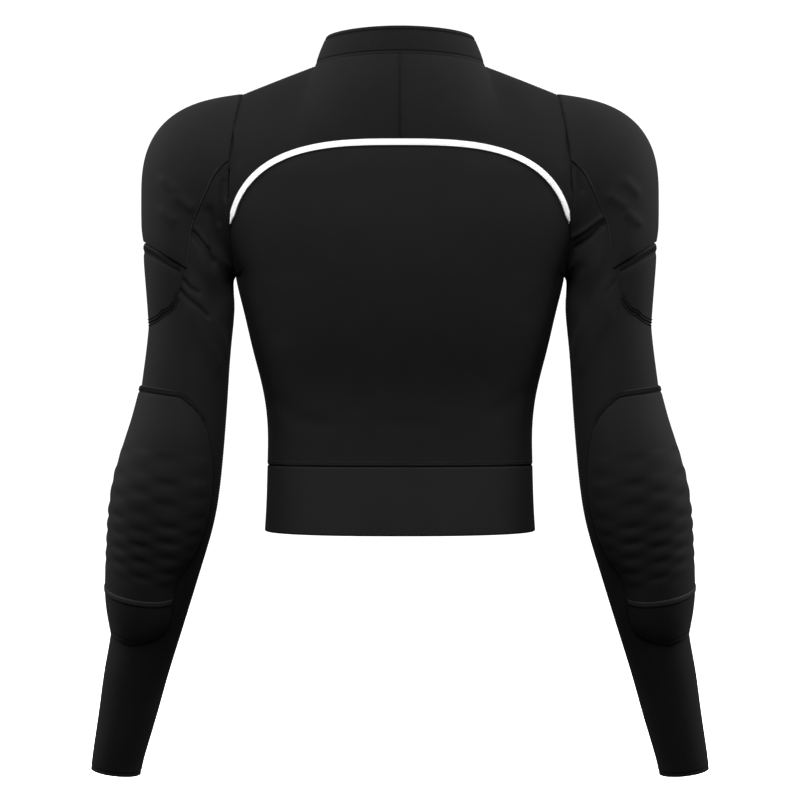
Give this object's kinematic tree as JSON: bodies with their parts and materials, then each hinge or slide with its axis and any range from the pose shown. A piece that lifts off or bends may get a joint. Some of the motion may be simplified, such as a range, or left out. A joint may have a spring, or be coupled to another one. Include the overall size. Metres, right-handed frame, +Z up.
{
  "type": "padded compression shirt",
  "caption": "Close-fitting cropped shirt with a stand collar and long sleeves, padded over shoulders and elbows, held in its worn, hollow form.",
  "frame": {"origin": "middle of the neck's base, level with the two sides of the neck seam, where the wearer's shoulders hold the shirt up", "axes": "+Z up along the wearer's spine, +Y out of the wearer's back, +X to the wearer's left"},
  "size_m": [0.5674, 0.2133, 0.6736],
  "materials": {
    "black_cloth": "matte stretch knit",
    "pad_cloth": "matte stretch knit over moulded foam",
    "white_thread": "white flatlock stitching",
    "grey_tape": "satin tape"
  },
  "bodies": {
    "root": {"collar": "black_cloth", "yoke_left": "black_cloth", "yoke_right": "black_cloth", "back_panel": "black_cloth", "front_panel": "black_cloth", "waistband": "black_cloth", "yoke_seam_tape": "white_thread", "sleeve_left": "black_cloth", "sleeve_right": "black_cloth", "shoulder_pad_left": "pad_cloth", "shoulder_pad_right": "pad_cloth", "arm_pad_left": "pad_cloth", "arm_pad_right": "pad_cloth", "elbow_pad_left": "pad_cloth", "elbow_pad_right": "pad_cloth", "elbow_stripe_left": "grey_tape", "elbow_stripe_right": "grey_tape"}
  },
  "joints": []
}
